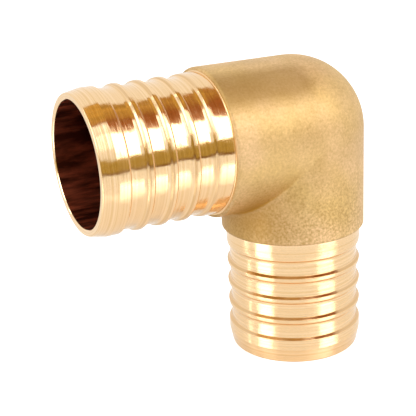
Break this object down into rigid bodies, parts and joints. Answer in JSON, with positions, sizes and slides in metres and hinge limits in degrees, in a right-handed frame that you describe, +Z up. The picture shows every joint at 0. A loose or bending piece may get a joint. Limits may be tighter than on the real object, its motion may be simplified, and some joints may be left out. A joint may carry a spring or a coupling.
{
  "type": "pex crimp fitting",
  "caption": "Ninety degree brass insert elbow with two equal ribbed barbs for plastic tube, bored through.",
  "frame": {"origin": "centre of the lower end face, on the lower port's axis", "axes": "+Z up the lower port's axis to the bend, -X along the side port's axis, away from the bend"},
  "size_m": [0.0495, 0.024, 0.0495],
  "materials": {
    "brass": "blasted forged body, bright turned barbs"
  },
  "bodies": {
    "root": {"elbow": "brass"}
  },
  "joints": []
}
